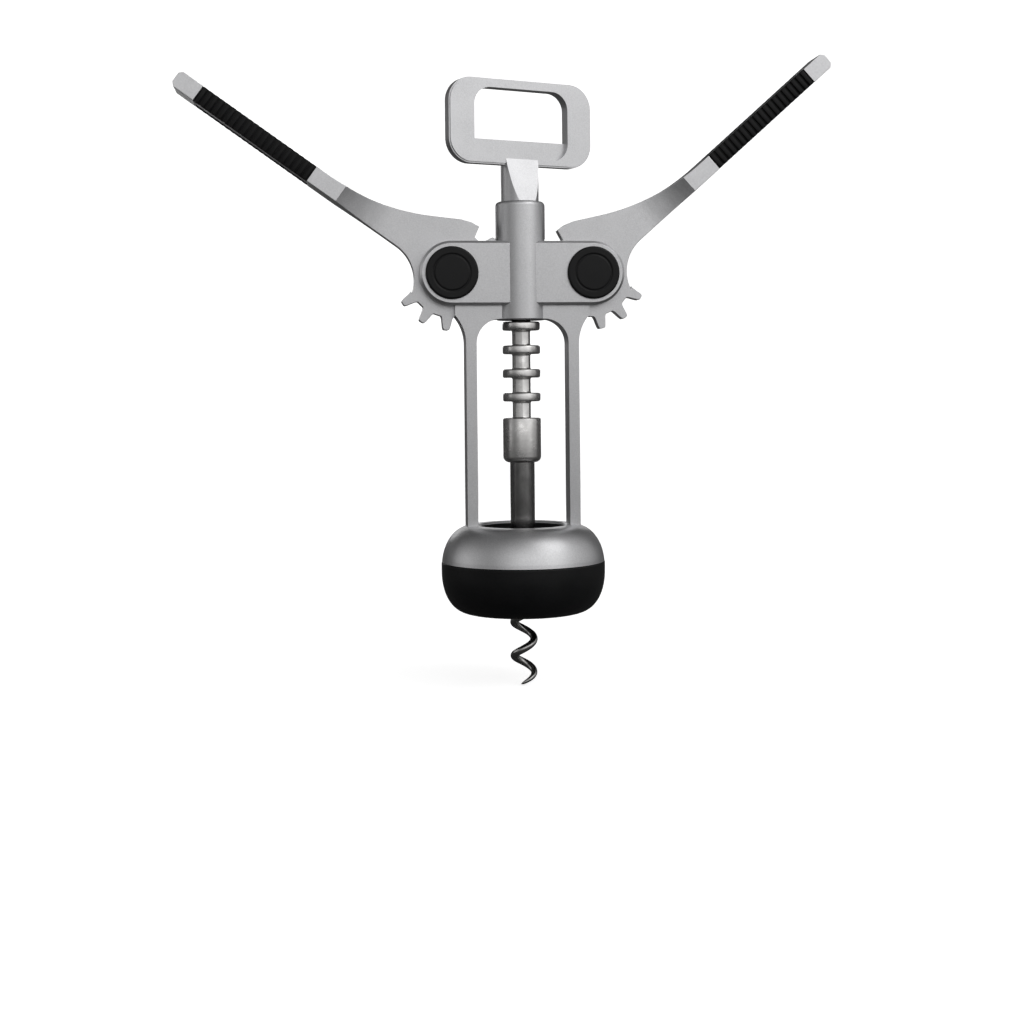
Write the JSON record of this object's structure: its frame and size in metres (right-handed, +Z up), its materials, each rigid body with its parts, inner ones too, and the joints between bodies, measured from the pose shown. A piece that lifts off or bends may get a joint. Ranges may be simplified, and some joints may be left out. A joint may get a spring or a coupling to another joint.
{
  "type": "lever corkscrew",
  "caption": "Lever corkscrew: cast frame with a bell foot, geared levers with ribbed black grips, ring-rack spindle with worm and a loop handle.",
  "frame": {"origin": "spindle axis in the plane of the bell foot's bottom edge", "axes": "+Z up the spindle to the handle, +X to the right lever, -Y towards the front"},
  "size_m": [0.244, 0.0608, 0.2343],
  "materials": {
    "satin_casting": "fine satin, pearl-blasted zinc casting",
    "black_foot": "satin soft-touch ring",
    "black_plastic": "moulded nylon",
    "black_cap": "satin moulded cap",
    "black_grip": "ribbed matt rubber",
    "pin_steel": "ground steel pin",
    "washer_brass": "thin sheet brass",
    "rack_steel": "turned dark steel",
    "shank_steel": "polished dark steel rod",
    "worm_steel": "bright drawn wire"
  },
  "bodies": {
    "frame": {"frame_casting": "satin_casting", "foot_ring": "black_foot", "neck_guide": "black_plastic", "pivot_pin_left": "pin_steel", "pivot_pin_right": "pin_steel", "front_cap_left": "black_cap", "front_cap_right": "black_cap", "back_cap_left": "black_cap", "back_cap_right": "black_cap", "washers_left": "washer_brass", "washers_right": "washer_brass"},
    "bush": {"spindle_bush": "black_plastic"},
    "lever_left": {"lever_left": "satin_casting", "front_pad_left": "black_grip", "back_pad_left": "black_grip"},
    "lever_right": {"lever_right": "satin_casting", "front_pad_right": "black_grip", "back_pad_right": "black_grip"},
    "spindle": {"handle": "satin_casting", "handle_pin": "pin_steel", "rack_spindle": "rack_steel", "shank": "shank_steel", "worm": "worm_steel"}
  },
  "joints": [
    {"name": "lever_left_pivot", "type": "hinge", "parent": "frame", "child": "lever_left", "pos_m": [-0.0262, 0, 0.1255], "axis": [0, -1, 0], "range_deg": [-28, 120]},
    {"name": "lever_right_pivot", "type": "hinge", "parent": "frame", "child": "lever_right", "pos_m": [0.0262, 0, 0.1255], "axis": [0, 1, 0], "range_deg": [-28, 120]},
    {"name": "spindle_turn", "type": "hinge", "parent": "frame", "child": "bush", "pos_m": [0, 0, 0.15], "axis": [0, 0, 1], "continuous": true},
    {"name": "spindle_slide", "type": "slide", "parent": "bush", "child": "spindle", "axis": [0, 0, 1], "range_m": [-0.0093, 0.0398]}
  ],
  "couplings": [
    {"joint": "lever_right_pivot", "follows": "lever_left_pivot", "ratio": 1},
    {"joint": "spindle_slide", "follows": "lever_left_pivot", "m_per_rad": 0.018998}
  ]
}
